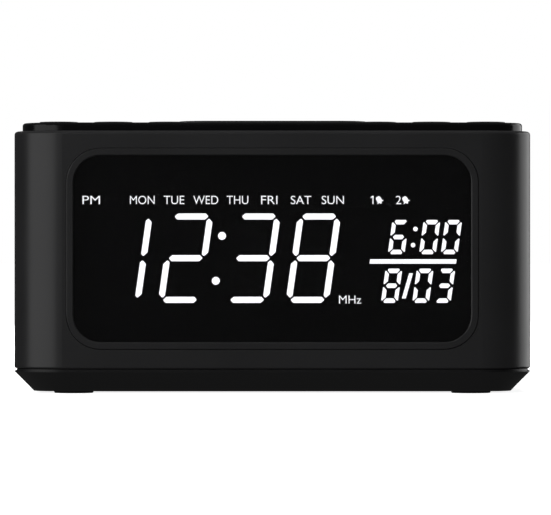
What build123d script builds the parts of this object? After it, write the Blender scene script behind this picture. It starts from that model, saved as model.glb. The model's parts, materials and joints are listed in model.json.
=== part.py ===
from build123d import *
from math import asin, degrees, radians, sin
import os

# Bedside clock radio: a square-shouldered case with a raised top plate, a chamfered base and a wide
# tinted window over white seven-segment digits. All sizes are in millimetres. The origin is the centre
# of the footprint on the surface that the feet stand on; +Z is up and the display faces -Y.

# ---- driving sizes of the housing ----
body_width = 175.0
body_depth = 88.0
body_radius = 17.0
wall = 2.4
foot_proud = 0.7  # how far the feet lift the base off the table
chamfer_size = 6.6
base_rim = 0.15  # upright band between the chamfer and the seam
seam = 0.85  # shadow gap under the case
seam_depth = 0.8
seam_clearance = 0.08  # between the step in the shadow gap and the case's lower edge
case_top = 88.5
plate_top = 91.3
plate_inset = 2.75  # from the case's outer face to the top plate's edge
fit_gap = 0.2  # clearance between housing pieces that drop into each other

# ---- heights that follow ----
base_bottom = foot_proud
base_top = base_bottom + chamfer_size + base_rim
case_bottom = base_top + seam
front_y = -body_depth / 2
rear_y = body_depth / 2
inner_front_y = front_y + wall
inner_rear_y = rear_y - wall
cavity_width = body_width - 2 * wall
cavity_depth = body_depth - 2 * wall
cavity_radius = body_radius - wall

# ---- top plate and the ledge it drops onto ----
plate_thickness = 2.2
plate_under = plate_top - plate_thickness
plate_width = body_width - 2 * plate_inset
plate_depth = body_depth - 2 * plate_inset
plate_radius = body_radius - plate_inset
skirt = 1.8
ledge_top = 85.5
ledge_thickness = 2.2
ledge_reach = 3.1
plate_screw_x, plate_screw_y = 45.0, 36.5

# ---- display window ----
window_z = 48.77
window_width, window_height, window_radius = 133.6, 62.8, 9.2
bezel_rim = 2.35
bezel_proud = 0.3
bezel_lip = 0.7
lens_thickness = 2.0
lens_overlap = 1.2  # how far the lens reaches behind the bezel's lip
film_gap = 0.1
film_thickness = 0.3
bezel_width = window_width + 2 * bezel_rim
bezel_height = window_height + 2 * bezel_rim
bezel_radius = window_radius + bezel_rim
bezel_front_y = front_y - bezel_proud
bezel_back_y = inner_front_y + 1.2
lens_front_y = bezel_front_y + bezel_lip
lens_back_y = lens_front_y + lens_thickness
film_front_y = lens_back_y + film_gap
film_back_y = film_front_y + film_thickness
block_back_y = film_back_y + 8.0
pipe_depth = 6.5
board_thickness = 1.6

# ---- digits ----
slant = 0.14  # sideways lean for each millimetre of height
time_digit = {"width": 14.55, "height": 30.05, "stroke": 2.05, "gap": 0.55, "z": 45.6, "mitred": False}
alarm_digit = {"width": 5.6, "height": 11.5, "stroke": 1.5, "side_stroke": 1.32, "gap": 0.4, "z": 52.7, "mitred": True}
date_digit = dict(alarm_digit, z=36.35)
time_places = [(-49.5, "bc"), (-29.1, "abged"), (-6.5, "abgcd"), (13.8, "abcdefg")]
alarm_places = [(42.4, "afedcg"), (52.9, "abcdef"), (60.2, "abcdef")]
date_places = [(40.1, "abcdefg"), (50.6, "abcdef"), (57.9, "abgcd")]
time_colon = [(-16.9, 53.1), (-19.0, 38.0)]
alarm_colon = [(48.1, 55.4), (47.3, 50.0)]
time_dot_radius, alarm_dot_radius = 1.34, 0.76
divider = {"x": 47.3, "z": 44.5, "width": 29.05, "height": 1.48, "lean": slant}
slash = {"x": 45.4, "z": 36.3, "width": 1.28, "height": 8.45, "lean": 0.287}
legend_z, legend_height = 65.2, 4.0
weekday_pitch, first_weekday_x = 10.67, -43.7
legend_boxes = [(-61.0, legend_z, 7.0)]
legend_boxes += [(first_weekday_x + n * weekday_pitch, legend_z, 9.2) for n in range(7)]
legend_boxes += [(35.3, legend_z, 5.2), (43.9, legend_z, 5.2), (26.2, 31.7, 8.6)]

# ---- buttons ----
button_radius = 6.5
button_row_y = -18.0
button_pitch = 18.6
inner_button_x = 35.7
button_top = plate_top + 0.76
snooze_width, snooze_depth, snooze_radius, snooze_y = 65.0, 26.0, 10.0, 12.0
snooze_top = plate_top + 1.75
flange_reach = 0.9
flange_thickness = 0.75
flange_top = plate_under - 0.05
flange_bottom = flange_top - flange_thickness
stem_bottom = 85.05
key_board_top = 80.0
key_board_bottom = key_board_top - board_thickness
switch_height = 3.5
plunger_radius = 1.7
plunger_bottom = 82.8
post_x, post_radius = 22.0, 1.9
button_names = ["power", "alarm_one", "alarm_two", "mode", "volume_down", "volume_up"]
button_xs = [side * (inner_button_x + n * button_pitch) for side, n in
             ((-1, 2), (-1, 1), (-1, 0), (1, 0), (1, 1), (1, 2))]

# ---- rear panel, speaker and sockets ----
panel_z = 46.0
panel_width, panel_height, panel_radius = 138.0, 64.0, 8.0
panel_thickness = 2.2
panel_outer_y = inner_rear_y + panel_thickness
panel_screws = [(x, panel_z + dz) for x in (-64, 64) for dz in (-27, 27)]
rear_ledge = 2.4
speaker_x, speaker_z = -36.0, 46.0
grille_radius = 25.0
socket_z = 23.0
aux_x, usb_x, dc_x = 14.0, 31.0, 48.0
usb_z = 22.0
gland_x, gland_z = 58.0, 40.0
gland_end = rear_y + bezel_proud  # the nose stands out as far behind as the bezel does in front

# ---- base, feet and backup cell ----
foot_x, foot_y, foot_radius = 67.3, 29.0, 6.65
floor = base_bottom + 2.2
tongue_top = 11.5
boss_bottom = 12.0
boss_top = 24.0
main_board_bottom = 16.0
main_board_top = main_board_bottom + board_thickness
main_board = {"x": 26.0, "y": 6.1, "width": 68.0, "depth": 64.2}
standoffs = [(x, y) for x in (-4.0, 56.0) for y in (-22.0, 26.0)]
cell_x, cell_y, cell_radius = -36.0, 0.0, 10.0
hatch_radius = 13.5
display_screws = [(x, z) for x in (-75.5, 75.5) for z in (33.0, 65.0)]
key_screws = [(-64.0, 20.0), (64.0, 20.0), (-14.0, -20.0), (14.0, -20.0)]


def facing_front(y):
    """Sketch plane parallel to the display: local axes are X and Z, and it extrudes towards -Y."""
    return Plane(origin=(0, y, 0), x_dir=(1, 0, 0), z_dir=(0, -1, 0))


def level(z):
    """Horizontal sketch plane at a height."""
    return Plane.XY.offset(z)


def round_axis(x, z):
    """Sketch plane whose local X is a radius and local Y is depth, for turning about an axis along Y."""
    return Plane(origin=(x, 0, z), x_dir=(1, 0, 0), z_dir=(0, 0, 1))


def keep(piece, name):
    """Label a finished piece and write it to its own STEP file."""
    piece.part.label = name
    export_step(piece.part, f"parts/{name}.step")


def leaned(points, x, z):
    """Digit points moved to their place and leaned to the right."""
    return [(x + px + slant * pz, z + pz) for px, pz in points]


def segment_points(letter, digit):
    """Outline of one of the seven bars a to g, about the digit's centre, before it is leaned."""
    half_width, half_height = digit["width"] / 2, digit["height"] / 2
    stroke, gap = digit["stroke"], digit["gap"]
    side = -1 if letter in "ef" else 1
    low = letter in "ced"
    if letter == "g" and digit["mitred"]:
        # a middle bar with a short point at each end
        reach, point = half_width - 0.6 * digit["side_stroke"] - gap / 3, 0.4 * stroke
        return [(-reach, 0), (point - reach, stroke / 2), (reach - point, stroke / 2),
                (reach, 0), (reach - point, -stroke / 2), (point - reach, -stroke / 2)]
    if letter in "adg" and not digit["mitred"]:
        # a bar with a point at each end
        reach = half_width - stroke / 2 - gap
        mid = {"a": half_height - stroke / 2, "g": 0, "d": stroke / 2 - half_height}[letter]
        bar = [(-reach, 0), (stroke / 2 - reach, stroke / 2), (reach - stroke / 2, stroke / 2),
               (reach, 0), (reach - stroke / 2, -stroke / 2), (stroke / 2 - reach, -stroke / 2)]
        return [(px, pz + mid) for px, pz in bar]
    if letter in "ad":
        # a bar whose ends slope inwards below a small cut corner
        sign = 1 if letter == "a" else -1
        long_reach, short_reach = half_width - 2 * gap, half_width - digit["side_stroke"] - 0.6 * gap
        edge, cut = sign * half_height, 0.36 * stroke
        return [(cut / 2 - long_reach, edge), (long_reach - cut / 2, edge), (long_reach, edge - sign * cut),
                (short_reach, edge - sign * stroke), (-short_reach, edge - sign * stroke),
                (-long_reach, edge - sign * cut)]
    if digit["mitred"]:
        inner, slope = half_width - digit["side_stroke"], 0.88 * stroke
        bar = [(half_width, gap / 2), (half_width, half_height - 1.2 * gap),
               (inner, half_height - 1.2 * gap - slope), (inner, slope + gap / 2)]
    else:
        foot, head = 1.2 * gap, half_height - stroke / 2 - 1.2 * gap
        inner, outer = half_width - stroke, half_width
        tip = half_width - 0.62 * stroke
        bar = [(tip, foot), (outer, foot + 0.62 * stroke), (outer, head - 0.62 * stroke),
               (tip, head), (inner, head - 0.38 * stroke), (inner, foot + 0.38 * stroke)]
    return [(side * px, -pz if low else pz) for px, pz in bar]


def draw_bars(digit, places, lit):
    """Add the lit or the unlit bars of a row of digits to the sketch in progress."""
    for x, on in places:
        for letter in "abcdefg":
            if (letter in on) == lit:
                Polygon(*leaned(segment_points(letter, digit), x, digit["z"]), align=None)


def draw_leaning_bar(bar):
    """Add a plain leaning bar, such as the divider, to the sketch in progress."""
    half_width, half_height = bar["width"] / 2, bar["height"] / 2
    shift = bar["lean"] * half_height
    Polygon((bar["x"] - half_width - shift, bar["z"] - half_height),
            (bar["x"] + half_width - shift, bar["z"] - half_height),
            (bar["x"] + half_width + shift, bar["z"] + half_height),
            (bar["x"] - half_width + shift, bar["z"] + half_height), align=None)


def bar_centres():
    """Centre of every bar, dot and mark of the display."""
    rows = ((time_digit, time_places), (alarm_digit, alarm_places), (date_digit, date_places))
    for digit, places in rows:
        for x, _ in places:
            for letter in "abcdefg":
                points = leaned(segment_points(letter, digit), x, digit["z"])
                yield tuple(sum(p[k] for p in points) / len(points) for k in (0, 1))
    yield from time_colon + alarm_colon
    yield (slash["x"], slash["z"])
    yield from [(divider["x"] + dx, divider["z"]) for dx in (-9, 0, 9)]
    yield from [(x, z) for x, z, _ in legend_boxes]


os.makedirs("parts", exist_ok=True)

# ================= housing =================

with BuildPart() as main_case:
    with BuildSketch(level(case_bottom)):
        RectangleRounded(body_width, body_depth, body_radius)
    extrude(amount=case_top - case_bottom)
    fillet(main_case.edges().group_by(Axis.Z)[-1], 1.2)
    fillet(main_case.edges().group_by(Axis.Z)[0], 0.8)
    with BuildSketch(level(case_bottom)):
        RectangleRounded(cavity_width, cavity_depth, cavity_radius)
    extrude(amount=case_top - case_bottom, mode=Mode.SUBTRACT)
    # ledge with four screw tabs, which carries the top plate
    with BuildSketch(level(ledge_top)):
        RectangleRounded(cavity_width + 1, cavity_depth + 1, cavity_radius + 0.5)
        RectangleRounded(cavity_width - 2 * ledge_reach, cavity_depth - 2 * ledge_reach,
                         cavity_radius - ledge_reach, mode=Mode.SUBTRACT)
        with GridLocations(2 * plate_screw_x, 2 * (plate_screw_y + 1), 2, 2):
            Rectangle(12, 8.2)
        with GridLocations(2 * plate_screw_x, 2 * plate_screw_y, 2, 2):
            Circle(1.7, mode=Mode.SUBTRACT)
    extrude(amount=-ledge_thickness)
    # window for the display bezel
    with BuildSketch(facing_front(inner_front_y)):
        with Locations((0, window_z)):
            RectangleRounded(bezel_width + 0.3, bezel_height + 0.3, bezel_radius + 0.15)
    extrude(amount=2 * wall, mode=Mode.SUBTRACT)
    # bosses for the display board, on the inside of the front wall
    with BuildSketch(facing_front(inner_front_y)):
        with Locations(*display_screws):
            Circle(3)
    extrude(amount=-(block_back_y - inner_front_y))
    # frame and bosses that carry the rear panel
    with BuildSketch(facing_front(inner_rear_y)):
        with Locations((0, panel_z)):
            RectangleRounded(panel_width + 8, panel_height + 4, panel_radius)
    extrude(amount=rear_ledge)
    with BuildSketch(facing_front(inner_rear_y)):
        with Locations(*panel_screws):
            Circle(3.5)
    extrude(amount=rear_ledge + 7)
    with BuildSketch(facing_front(inner_rear_y)):
        with Locations((0, panel_z)):
            RectangleRounded(panel_width - 7, panel_height - 7, 12)
    extrude(amount=rear_ledge, mode=Mode.SUBTRACT)
    with BuildSketch(facing_front(rear_y)):
        with Locations((0, panel_z)):
            RectangleRounded(panel_width + 0.4, panel_height + 0.4, panel_radius + 0.2)
    extrude(amount=wall, mode=Mode.SUBTRACT)
    # corner bosses for the base screws, each tied to its side wall by a rib
    with BuildSketch(level(boss_bottom)):
        with GridLocations(2 * foot_x, 2 * foot_y, 2, 2):
            Circle(4)
        with GridLocations(foot_x + body_width / 2 - 1, 2 * foot_y, 2, 2):
            Rectangle(body_width / 2 - 1 - foot_x, 2)
    extrude(amount=boss_top - boss_bottom)
    # pilot holes
    with BuildSketch(level(boss_bottom)):
        with GridLocations(2 * foot_x, 2 * foot_y, 2, 2):
            Circle(1.25)
    extrude(amount=10.5, mode=Mode.SUBTRACT)
    with BuildSketch(facing_front(block_back_y)):
        with Locations(*display_screws):
            Circle(1.25)
    extrude(amount=6.5, mode=Mode.SUBTRACT)
    with BuildSketch(facing_front(inner_rear_y)):
        with Locations(*panel_screws):
            Circle(1.25)
    extrude(amount=9, mode=Mode.SUBTRACT)
keep(main_case, "main_case")

with BuildPart() as top_plate:
    with BuildSketch(level(ledge_top)):
        RectangleRounded(plate_width, plate_depth, plate_radius)
    extrude(amount=plate_top - ledge_top)
    fillet(top_plate.edges().group_by(Axis.Z)[-1], 1.0)
    with BuildSketch(level(ledge_top)):
        RectangleRounded(plate_width - 2 * skirt, plate_depth - 2 * skirt, plate_radius - skirt)
    extrude(amount=plate_under - ledge_top, mode=Mode.SUBTRACT)
    with BuildSketch(level(ledge_top)):
        with GridLocations(2 * plate_screw_x, 2 * plate_screw_y, 2, 2):
            Circle(3)
    extrude(amount=plate_under - ledge_top)
    with BuildSketch(level(key_board_top)):
        with Locations(*key_screws):
            Circle(3)
    extrude(amount=plate_under - key_board_top)
    # openings for the six buttons and the snooze bar, with a softened rim
    with BuildSketch(level(plate_under)):
        with Locations(*[(x, button_row_y) for x in button_xs]):
            Circle(button_radius + 0.25)
        with Locations((0, snooze_y)):
            RectangleRounded(snooze_width + 0.5, snooze_depth + 0.5, snooze_radius + 0.25)
    extrude(amount=plate_thickness, mode=Mode.SUBTRACT)
    chamfer(top_plate.faces().sort_by(Axis.Z)[-1].inner_wires().edges(), 0.3)
    # pilot holes
    with BuildSketch(level(ledge_top)):
        with GridLocations(2 * plate_screw_x, 2 * plate_screw_y, 2, 2):
            Circle(1.25)
    extrude(amount=4.6, mode=Mode.SUBTRACT)
    with BuildSketch(level(key_board_top)):
        with Locations(*key_screws):
            Circle(1.0)
    extrude(amount=8, mode=Mode.SUBTRACT)
keep(top_plate, "top_plate")

with BuildPart() as base_cover:
    with BuildSketch(level(base_bottom)):
        RectangleRounded(body_width, body_depth, body_radius)
    extrude(amount=base_top - base_bottom)
    chamfer(base_cover.edges().group_by(Axis.Z)[0], chamfer_size)
    # step at the bottom of the shadow gap
    with BuildSketch(level(base_top)):
        RectangleRounded(body_width - 2 * seam_depth, body_depth - 2 * seam_depth, body_radius - seam_depth)
    extrude(amount=seam - seam_clearance)
    # tongue that enters the case, then the tray's hollow, which follows the chamfer
    with BuildSketch(level(base_top - 1)):
        RectangleRounded(cavity_width - 2 * fit_gap, cavity_depth - 2 * fit_gap, cavity_radius - fit_gap)
    extrude(amount=tongue_top - base_top + 1)
    with BuildSketch(level(base_top)):
        RectangleRounded(cavity_width - 4.4, cavity_depth - 4.4, cavity_radius - 2.2)
    extrude(amount=tongue_top - base_top, mode=Mode.SUBTRACT)
    with BuildSketch(level(base_top)):
        RectangleRounded(cavity_width - 4.4, cavity_depth - 4.4, cavity_radius - 2.2)
    extrude(amount=floor - base_top, taper=45, mode=Mode.SUBTRACT)
    # screw pillars, board standoffs and the backup cell's round compartment
    with BuildSketch(level(floor)):
        with GridLocations(2 * foot_x, 2 * foot_y, 2, 2):
            Circle(5)
    extrude(amount=boss_bottom - floor)
    with BuildSketch(level(floor)):
        with Locations(*standoffs):
            Circle(3)
    extrude(amount=main_board_bottom - floor)
    with BuildSketch(level(floor)):
        with Locations((cell_x, cell_y)):
            Circle(hatch_radius + 2.5)
    extrude(amount=11.7 - floor)
    # screw wells below, foot recesses and pilot holes
    with BuildSketch(level(base_bottom)):
        with GridLocations(2 * foot_x, 2 * foot_y, 2, 2):
            Circle(foot_radius + 0.2)
    extrude(amount=0.8, mode=Mode.SUBTRACT)
    with BuildSketch(level(base_bottom)):
        with GridLocations(2 * foot_x, 2 * foot_y, 2, 2):
            Circle(3.3)
    extrude(amount=8.2, mode=Mode.SUBTRACT)
    with BuildSketch(level(base_bottom)):
        with GridLocations(2 * foot_x, 2 * foot_y, 2, 2):
            Circle(1.7)
    extrude(amount=boss_bottom - base_bottom, mode=Mode.SUBTRACT)
    with BuildSketch(level(main_board_bottom)):
        with Locations(*standoffs):
            Circle(1.0)
    extrude(amount=-8, mode=Mode.SUBTRACT)
    # compartment, from the outside in: hatch seat, bayonet ledge, lug groove, cell bore
    for low, high, radius in ((base_bottom, 2.5, hatch_radius + 0.2), (2.5, 4.3, 11.5),
                              (4.3, 5.9, hatch_radius + 0.2), (5.9, 10.2, cell_radius + 0.3)):
        with BuildSketch(level(low)):
            with Locations((cell_x, cell_y)):
                Circle(radius)
        extrude(amount=high - low, mode=Mode.SUBTRACT)
    with BuildSketch(level(2.5)):
        with Locations((cell_x, cell_y)):
            with PolarLocations(11.93, 3, start_angle=60):
                Rectangle(2.85, 6.6)
    extrude(amount=1.8, mode=Mode.SUBTRACT)
    with BuildSketch(level(5.9)):
        with Locations((cell_x - 8, cell_y)):
            Rectangle(1.2, 4.6)
        with Locations((cell_x, cell_y + 11)):
            Rectangle(4.6, 2.2)
    extrude(amount=5.8, mode=Mode.SUBTRACT)
keep(base_cover, "base_cover")

with BuildPart() as rear_panel:
    with BuildSketch(facing_front(panel_outer_y)):
        with Locations((0, panel_z)):
            RectangleRounded(panel_width, panel_height, panel_radius)
    extrude(amount=panel_thickness)
    fillet(rear_panel.edges().group_by(Axis.Y)[-1], 0.4)
    # low bosses that the speaker's ears are screwed to
    with BuildSketch(facing_front(inner_rear_y)):
        with Locations((speaker_x, speaker_z)):
            with PolarLocations(28, 4, start_angle=45):
                Circle(3.2)
    extrude(amount=1.0)
    # stepped round seat for the grille disc
    with BuildSketch(facing_front(panel_outer_y)):
        with Locations((speaker_x, speaker_z)):
            Circle(grille_radius + 0.1)
    extrude(amount=1.6, mode=Mode.SUBTRACT)
    with BuildSketch(facing_front(panel_outer_y)):
        with Locations((speaker_x, speaker_z)):
            Circle(grille_radius - 2)
    extrude(amount=panel_thickness, mode=Mode.SUBTRACT)
    # socket cut-outs and the antenna gland's hole
    with BuildSketch(facing_front(panel_outer_y)):
        with Locations((aux_x, socket_z)):
            Circle(3.25)
        with Locations((dc_x, socket_z)):
            Circle(4.45)
        with Locations((usb_x, usb_z)):
            Rectangle(13.8, 6.4)
        with Locations((gland_x, gland_z)):
            Circle(2.6)
    extrude(amount=panel_thickness, mode=Mode.SUBTRACT)
    with BuildSketch(facing_front(panel_outer_y)):
        with Locations(*panel_screws):
            Circle(2.9)
    extrude(amount=1.4, taper=45, mode=Mode.SUBTRACT)
    with BuildSketch(facing_front(panel_outer_y)):
        with Locations(*panel_screws):
            Circle(1.65)
    extrude(amount=panel_thickness, mode=Mode.SUBTRACT)
    with BuildSketch(facing_front(inner_rear_y - 1.0)):
        with Locations((speaker_x, speaker_z)):
            with PolarLocations(28, 4, start_angle=45):
                Circle(1.0)
    extrude(amount=-2.3, mode=Mode.SUBTRACT)
keep(rear_panel, "rear_panel")

with BuildPart() as speaker_grille:
    with BuildSketch(facing_front(panel_outer_y)):
        with Locations((speaker_x, speaker_z)):
            Circle(grille_radius)
    extrude(amount=1.5)
    fillet(speaker_grille.edges().group_by(Axis.Y)[-1], 0.3)
    hole_pitch, hole_radius, hole_field = 3.2, 1.05, 21.5
    hole_places = []
    for row in range(-7, 8):
        for column in range(-8, 9):
            x = hole_pitch * (column + 0.5 * (row % 2))
            z = hole_pitch * row * sin(radians(60))
            if x * x + z * z < hole_field ** 2:
                hole_places.append((speaker_x + x, speaker_z + z))
    with BuildSketch(facing_front(panel_outer_y)):
        with Locations(*hole_places):
            Circle(hole_radius)
    extrude(amount=1.5, mode=Mode.SUBTRACT)
keep(speaker_grille, "speaker_grille")

with BuildPart() as rubber_feet:
    with BuildSketch(level(0)):
        with GridLocations(2 * foot_x, 2 * foot_y, 2, 2):
            Circle(foot_radius)
    extrude(amount=base_bottom + 0.75)
    fillet(rubber_feet.edges().group_by(Axis.Z)[0], 0.25)
keep(rubber_feet, "rubber_feet")

# ================= display =================

with BuildPart() as display_bezel:
    with BuildSketch(facing_front(bezel_back_y)):
        with Locations((0, window_z)):
            RectangleRounded(bezel_width, bezel_height, bezel_radius)
    extrude(amount=bezel_back_y - bezel_front_y)
    fillet(display_bezel.edges().group_by(Axis.Y)[0], 0.25)
    with BuildSketch(facing_front(bezel_back_y)):
        with Locations((0, window_z)):
            RectangleRounded(bezel_width + 2.4, bezel_height + 1.3, bezel_radius + 0.6)
    extrude(amount=bezel_back_y - inner_front_y)
    with BuildSketch(facing_front(bezel_back_y)):
        with Locations((0, window_z)):
            RectangleRounded(window_width, window_height, window_radius)
    extrude(amount=bezel_back_y - bezel_front_y, mode=Mode.SUBTRACT)
    chamfer(display_bezel.faces().sort_by(Axis.Y)[0].inner_wires().edges(), 0.3)
    with BuildSketch(facing_front(bezel_back_y)):
        with Locations((0, window_z)):
            RectangleRounded(window_width + 2 * lens_overlap + 0.2,
                             window_height + 2 * lens_overlap + 0.2, window_radius + lens_overlap)
    extrude(amount=bezel_back_y - lens_front_y, mode=Mode.SUBTRACT)
keep(display_bezel, "display_bezel")

with BuildPart() as display_lens:
    with BuildSketch(facing_front(lens_back_y)):
        with Locations((0, window_z)):
            RectangleRounded(window_width + 2 * lens_overlap, window_height + 2 * lens_overlap,
                             window_radius + lens_overlap)
    extrude(amount=lens_thickness)
keep(display_lens, "display_lens")

with BuildSketch(facing_front(film_front_y)) as time_lit_outline:
    draw_bars(time_digit, time_places, lit=True)
    fillet(time_lit_outline.vertices(), 0.35)

with BuildSketch(facing_front(film_front_y)) as small_lit_outline:
    draw_bars(alarm_digit, alarm_places, lit=True)
    draw_bars(date_digit, date_places, lit=True)
    fillet(small_lit_outline.vertices(), 0.22)

with BuildSketch(facing_front(film_front_y)) as unlit_outline:
    draw_bars(time_digit, time_places, lit=False)
    draw_bars(alarm_digit, alarm_places, lit=False)
    draw_bars(date_digit, date_places, lit=False)
    fillet(unlit_outline.vertices(), 0.2)

with BuildSketch(facing_front(film_front_y)) as marks_outline:
    draw_leaning_bar(divider)
    draw_leaning_bar(slash)
    with Locations(*time_colon):
        Circle(time_dot_radius)
    with Locations(*alarm_colon):
        Circle(alarm_dot_radius)

with BuildSketch(facing_front(film_back_y)) as legend_outline:
    for x, z, width in legend_boxes:
        with Locations((x, z)):
            RectangleRounded(width, legend_height, 0.5)

window_outlines = [time_lit_outline, small_lit_outline, unlit_outline, marks_outline]

with BuildPart() as display_film:
    with BuildSketch(facing_front(film_back_y)):
        with Locations((0, window_z)):
            RectangleRounded(window_width + 2 * lens_overlap, window_height + 2 * lens_overlap,
                             window_radius + lens_overlap)
    extrude(amount=film_thickness)
    for outline in window_outlines:
        extrude(outline.sketch, amount=-film_thickness, mode=Mode.SUBTRACT)
keep(display_film, "display_film")

with BuildPart() as led_block:
    with BuildSketch(facing_front(block_back_y)):
        with Locations((0, 48.5)):
            RectangleRounded(132, 42, 1.5)
    extrude(amount=block_back_y - film_back_y)
    for outline in window_outlines + [legend_outline]:
        extrude(outline.sketch, amount=-(block_back_y - film_front_y), mode=Mode.SUBTRACT)
keep(led_block, "led_block")

with BuildPart() as time_segments:
    extrude(time_lit_outline.sketch, amount=-pipe_depth)
keep(time_segments, "time_segments_lit")

with BuildPart() as small_segments:
    extrude(small_lit_outline.sketch, amount=-pipe_depth)
keep(small_segments, "small_segments_lit")

with BuildPart() as unlit_segments:
    extrude(unlit_outline.sketch, amount=-pipe_depth)
keep(unlit_segments, "unlit_segments")

with BuildPart() as lit_marks:
    extrude(marks_outline.sketch, amount=-pipe_depth)
keep(lit_marks, "colon_and_marks_lit")

with BuildPart() as legend_lights:
    extrude(legend_outline.sketch, amount=-(pipe_depth - film_thickness))
keep(legend_lights, "legend_lights")

with BuildPart() as display_board:
    with BuildSketch(facing_front(block_back_y)):
        with Locations((0, 49)):
            RectangleRounded(158, 46, 2)
        with Locations(*display_screws):
            Circle(1.6, mode=Mode.SUBTRACT)
    extrude(amount=-board_thickness)
keep(display_board, "display_board")

with BuildPart() as led_chips:
    with BuildSketch(facing_front(block_back_y)):
        with Locations(*bar_centres()):
            Rectangle(0.9, 0.9)
    extrude(amount=0.8)
keep(led_chips, "led_chips")

# ================= buttons and key board =================

for name, x in zip(button_names, button_xs):
    with BuildPart() as button_cap:
        with BuildSketch(level(flange_bottom)):
            with Locations((x, button_row_y)):
                Circle(button_radius)
        extrude(amount=button_top - flange_bottom)
        fillet(button_cap.edges().group_by(Axis.Z)[-1], 0.5)
        with BuildSketch(level(flange_bottom)):
            with Locations((x, button_row_y)):
                Circle(button_radius + flange_reach)
        extrude(amount=flange_thickness)
        with BuildSketch(level(flange_bottom)):
            with Locations((x, button_row_y)):
                Circle(button_radius - 1.3)
        extrude(amount=button_top - 1.4 - flange_bottom, mode=Mode.SUBTRACT)
        with BuildSketch(level(stem_bottom)):
            with Locations((x, button_row_y)):
                Circle(2.0)
        extrude(amount=button_top - 1.4 - stem_bottom)
    keep(button_cap, f"{name}_button")

with BuildPart() as snooze_bar:
    with BuildSketch(level(flange_bottom)):
        with Locations((0, snooze_y)):
            RectangleRounded(snooze_width, snooze_depth, snooze_radius)
    extrude(amount=snooze_top - flange_bottom)
    fillet(snooze_bar.edges().group_by(Axis.Z)[-1], 1.0)
    with BuildSketch(level(flange_bottom)):
        with Locations((0, snooze_y)):
            RectangleRounded(snooze_width + 3, snooze_depth + 3, snooze_radius + 1.5)
    extrude(amount=flange_thickness)
    with BuildSketch(level(flange_bottom)):
        with Locations((0, snooze_y)):
            RectangleRounded(snooze_width - 4.4, snooze_depth - 4.4, snooze_radius - 2.2)
    extrude(amount=snooze_top - 1.9 - flange_bottom, mode=Mode.SUBTRACT)
    with BuildSketch(level(stem_bottom)):
        with Locations((0, snooze_y)):
            Circle(2.5)
    extrude(amount=snooze_top - 1.9 - stem_bottom)
    with BuildSketch(level(77.5)):
        with Locations((-post_x, snooze_y), (post_x, snooze_y)):
            Circle(post_radius)
    extrude(amount=snooze_top - 1.9 - 77.5)
keep(snooze_bar, "snooze_bar")

switch_places = [(x, button_row_y) for x in button_xs] + [(0, snooze_y)]

for name, place in zip(button_names + ["snooze"], switch_places):
    with BuildPart() as plunger:
        with BuildSketch(level(plunger_bottom)):
            with Locations(place):
                Circle(plunger_radius)
        extrude(amount=stem_bottom - plunger_bottom)
    keep(plunger, f"{name}_plunger")

with BuildPart() as switch_bodies:
    with BuildSketch(level(key_board_top)):
        with Locations(*switch_places):
            RectangleRounded(6.2, 6.2, 0.4)
    extrude(amount=switch_height)
    with BuildSketch(level(key_board_top + switch_height)):
        with Locations(*switch_places):
            Circle(plunger_radius + 0.06)
    extrude(amount=-1.8, mode=Mode.SUBTRACT)
keep(switch_bodies, "switch_bodies")

with BuildPart() as key_board:
    with BuildSketch(level(key_board_top)):
        with Locations((0, 2)):
            RectangleRounded(158, 54, 3)
        with Locations(*key_screws):
            Circle(1.6, mode=Mode.SUBTRACT)
        with Locations((-post_x, snooze_y), (post_x, snooze_y)):
            Circle(post_radius + 0.2, mode=Mode.SUBTRACT)
    extrude(amount=-board_thickness)
keep(key_board, "key_board")

spring_wire, spring_radius = 0.25, 2.6
spring_low = key_board_top + spring_wire + 0.05
spring_high = snooze_top - 1.9 - spring_wire - 0.05
with BuildPart() as snooze_springs:
    for x in (-post_x, post_x):
        with BuildLine(Plane(origin=(x, snooze_y, spring_low))) as coil:
            Helix(pitch=1.6, height=spring_high - spring_low, radius=spring_radius)
        with BuildSketch(coil.wire() ^ 0):
            Circle(spring_wire)
        sweep(path=coil.wire(), is_frenet=True)
keep(snooze_springs, "snooze_springs")

# ================= main board and sockets =================

with BuildPart() as board:
    with BuildSketch(level(main_board_bottom)):
        with Locations((main_board["x"], main_board["y"])):
            RectangleRounded(main_board["width"], main_board["depth"], 2)
        with Locations(*standoffs):
            Circle(1.6, mode=Mode.SUBTRACT)
    extrude(amount=board_thickness)
keep(board, "main_board")

with BuildPart() as dc_jack:
    with BuildSketch(level(main_board_top)):
        with Locations((dc_x, 34)):
            Rectangle(9, 14)
    extrude(amount=10.8)
    with BuildSketch(facing_front(43.0)):
        with Locations((dc_x, socket_z)):
            Circle(4.2)
    extrude(amount=3)
    with BuildSketch(facing_front(43.0)):
        with Locations((dc_x, socket_z)):
            Circle(3.15)
    extrude(amount=10, mode=Mode.SUBTRACT)
keep(dc_jack, "dc_jack")

with BuildPart() as dc_jack_pin:
    with BuildSketch(facing_front(42.0)):
        with Locations((dc_x, socket_z)):
            Circle(1.0)
    extrude(amount=9)
    fillet(dc_jack_pin.edges().group_by(Axis.Y)[-1], 0.4)
keep(dc_jack_pin, "dc_jack_pin")

with BuildPart() as aux_jack:
    with BuildSketch(level(main_board_top)):
        with Locations((aux_x, 35)):
            Rectangle(8, 12)
    extrude(amount=9.4)
    with BuildSketch(facing_front(43.2)):
        with Locations((aux_x, socket_z)):
            Circle(3.0)
    extrude(amount=4)
    with BuildSketch(facing_front(43.2)):
        with Locations((aux_x, socket_z)):
            Circle(1.8)
    extrude(amount=13, mode=Mode.SUBTRACT)
keep(aux_jack, "aux_jack")

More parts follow.
